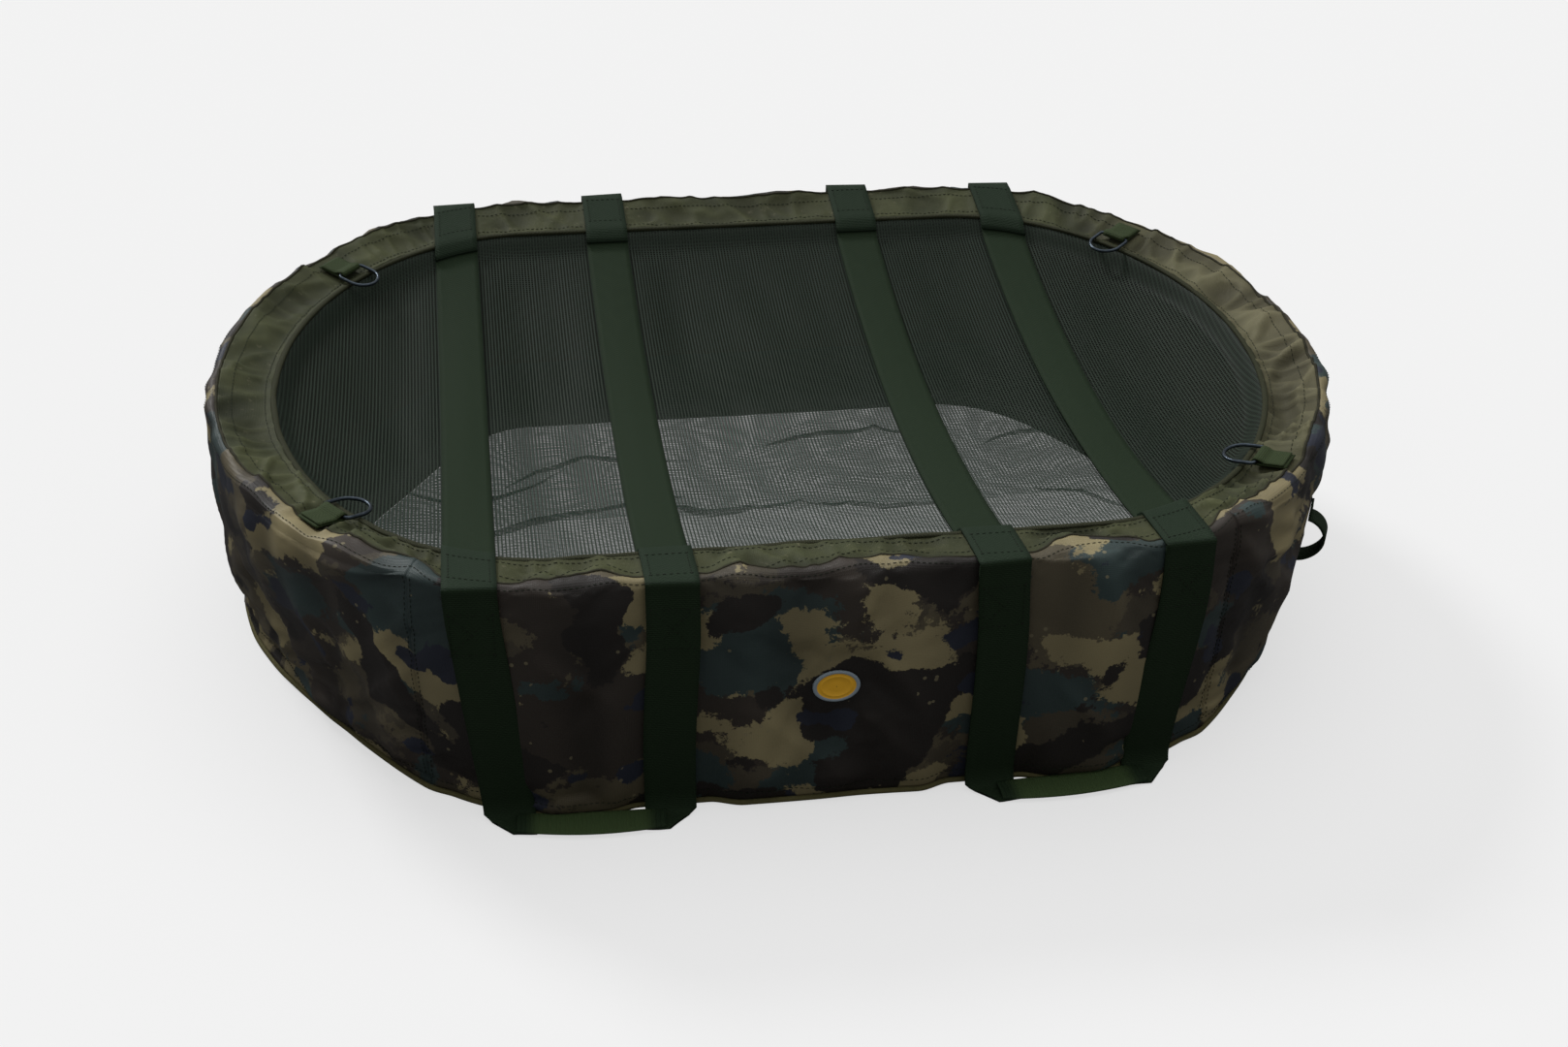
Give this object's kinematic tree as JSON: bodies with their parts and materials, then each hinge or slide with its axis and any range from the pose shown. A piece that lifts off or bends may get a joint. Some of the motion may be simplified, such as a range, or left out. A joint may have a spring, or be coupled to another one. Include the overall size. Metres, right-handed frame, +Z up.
{
  "type": "padded fish cradle",
  "caption": "Oval padded fish cradle with an upright camouflage wall, a see-through mesh sling under webbing straps, carrying handles and rim rings.",
  "frame": {"origin": "on the ground under the middle of the oval", "axes": "+X along the long side, -Y to the front with the badge, +Z up"},
  "size_m": [1.214, 0.9636, 0.2679],
  "materials": {
    "camouflage_fabric": null,
    "olive_fabric": "woven polyester, olive, matt",
    "coated_base_fabric": "coated base cloth, dark green, matt",
    "foam": "closed-cell foam padding, grey, hidden",
    "dark_lining": "dark lining cloth, matt",
    "piping": "corded piping, olive",
    "mesh": "open woven mesh, green-black",
    "binding_tape": "woven edge tape, dark green",
    "webbing": "polypropylene webbing, dark green",
    "ring_metal": "dark plated steel wire",
    "badge_rubber": "moulded soft badge, bare"
  },
  "bodies": {
    "cradle": {"outer_wall_front": "camouflage_fabric", "wall_padding_front": "foam", "outer_wall_back": "camouflage_fabric", "wall_padding_back": "foam", "outer_wall_left": "camouflage_fabric", "wall_padding_left": "foam", "outer_wall_right": "camouflage_fabric", "wall_padding_right": "foam", "rim_top_strip": "olive_fabric", "wall_base_strip": "coated_base_fabric", "inner_wall_lining": "dark_lining", "rim_piping": "piping", "base_piping": "piping", "sling_mesh": "mesh", "base_mesh_foot": "mesh", "base_mesh": "mesh", "rim_inner_binding": "binding_tape", "end_loop": "webbing", "badge": "badge_rubber", "sling_strap_1": "webbing", "sling_strap_2": "webbing", "sling_strap_3": "webbing", "sling_strap_4": "webbing", "rim_webbing_front_1": "webbing", "rim_webbing_front_2": "webbing", "rim_webbing_front_3": "webbing", "rim_webbing_front_4": "webbing", "rim_webbing_back_1": "webbing", "rim_webbing_back_2": "webbing", "rim_webbing_back_3": "webbing", "rim_webbing_back_4": "webbing", "ring_tab_front_left": "webbing", "ring_tab_front_right": "webbing", "ring_tab_back_left": "webbing", "ring_tab_back_right": "webbing"},
    "handle_front_left": {"handle_front_left": "webbing"},
    "handle_front_right": {"handle_front_right": "webbing"},
    "handle_back_left": {"handle_back_left": "webbing"},
    "handle_back_right": {"handle_back_right": "webbing"},
    "ground_ring_front_left": {"ground_ring_front_left": "ring_metal"},
    "ground_ring_front_right": {"ground_ring_front_right": "ring_metal"},
    "ground_ring_back_left": {"ground_ring_back_left": "ring_metal"},
    "ground_ring_back_right": {"ground_ring_back_right": "ring_metal"}
  },
  "joints": [
    {"name": "handle_front_left_lift", "type": "hinge", "parent": "cradle", "child": "handle_front_left", "pos_m": [-0.24731, -0.42675, 0.26665], "axis": [-0.9979, 0.0644, 0], "range_deg": [0, 180]},
    {"name": "handle_front_right_lift", "type": "hinge", "parent": "cradle", "child": "handle_front_right", "pos_m": [0.24655, -0.4268, 0.26665], "axis": [-0.9979, -0.0644, 0], "range_deg": [0, 180]},
    {"name": "handle_back_left_lift", "type": "hinge", "parent": "cradle", "child": "handle_back_left", "pos_m": [-0.24731, 0.42675, 0.26665], "axis": [0.9979, 0.0644, 0], "range_deg": [0, 180]},
    {"name": "handle_back_right_lift", "type": "hinge", "parent": "cradle", "child": "handle_back_right", "pos_m": [0.24655, 0.4268, 0.26665], "axis": [0.9979, -0.0644, 0], "range_deg": [0, 180]},
    {"name": "ground_ring_front_left_flip", "type": "hinge", "parent": "cradle", "child": "ground_ring_front_left", "pos_m": [-0.46215, -0.26347, 0.2604], "axis": [0.6127, -0.7903, 0], "range_deg": [0, 140]},
    {"name": "ground_ring_front_right_flip", "type": "hinge", "parent": "cradle", "child": "ground_ring_front_right", "pos_m": [0.46215, -0.26347, 0.2604], "axis": [0.6127, 0.7903, 0], "range_deg": [0, 140]},
    {"name": "ground_ring_back_left_flip", "type": "hinge", "parent": "cradle", "child": "ground_ring_back_left", "pos_m": [-0.46215, 0.26347, 0.2604], "axis": [-0.6127, -0.7903, 0], "range_deg": [0, 140]},
    {"name": "ground_ring_back_right_flip", "type": "hinge", "parent": "cradle", "child": "ground_ring_back_right", "pos_m": [0.46215, 0.26347, 0.2604], "axis": [-0.6127, 0.7903, 0], "range_deg": [0, 140]}
  ]
}
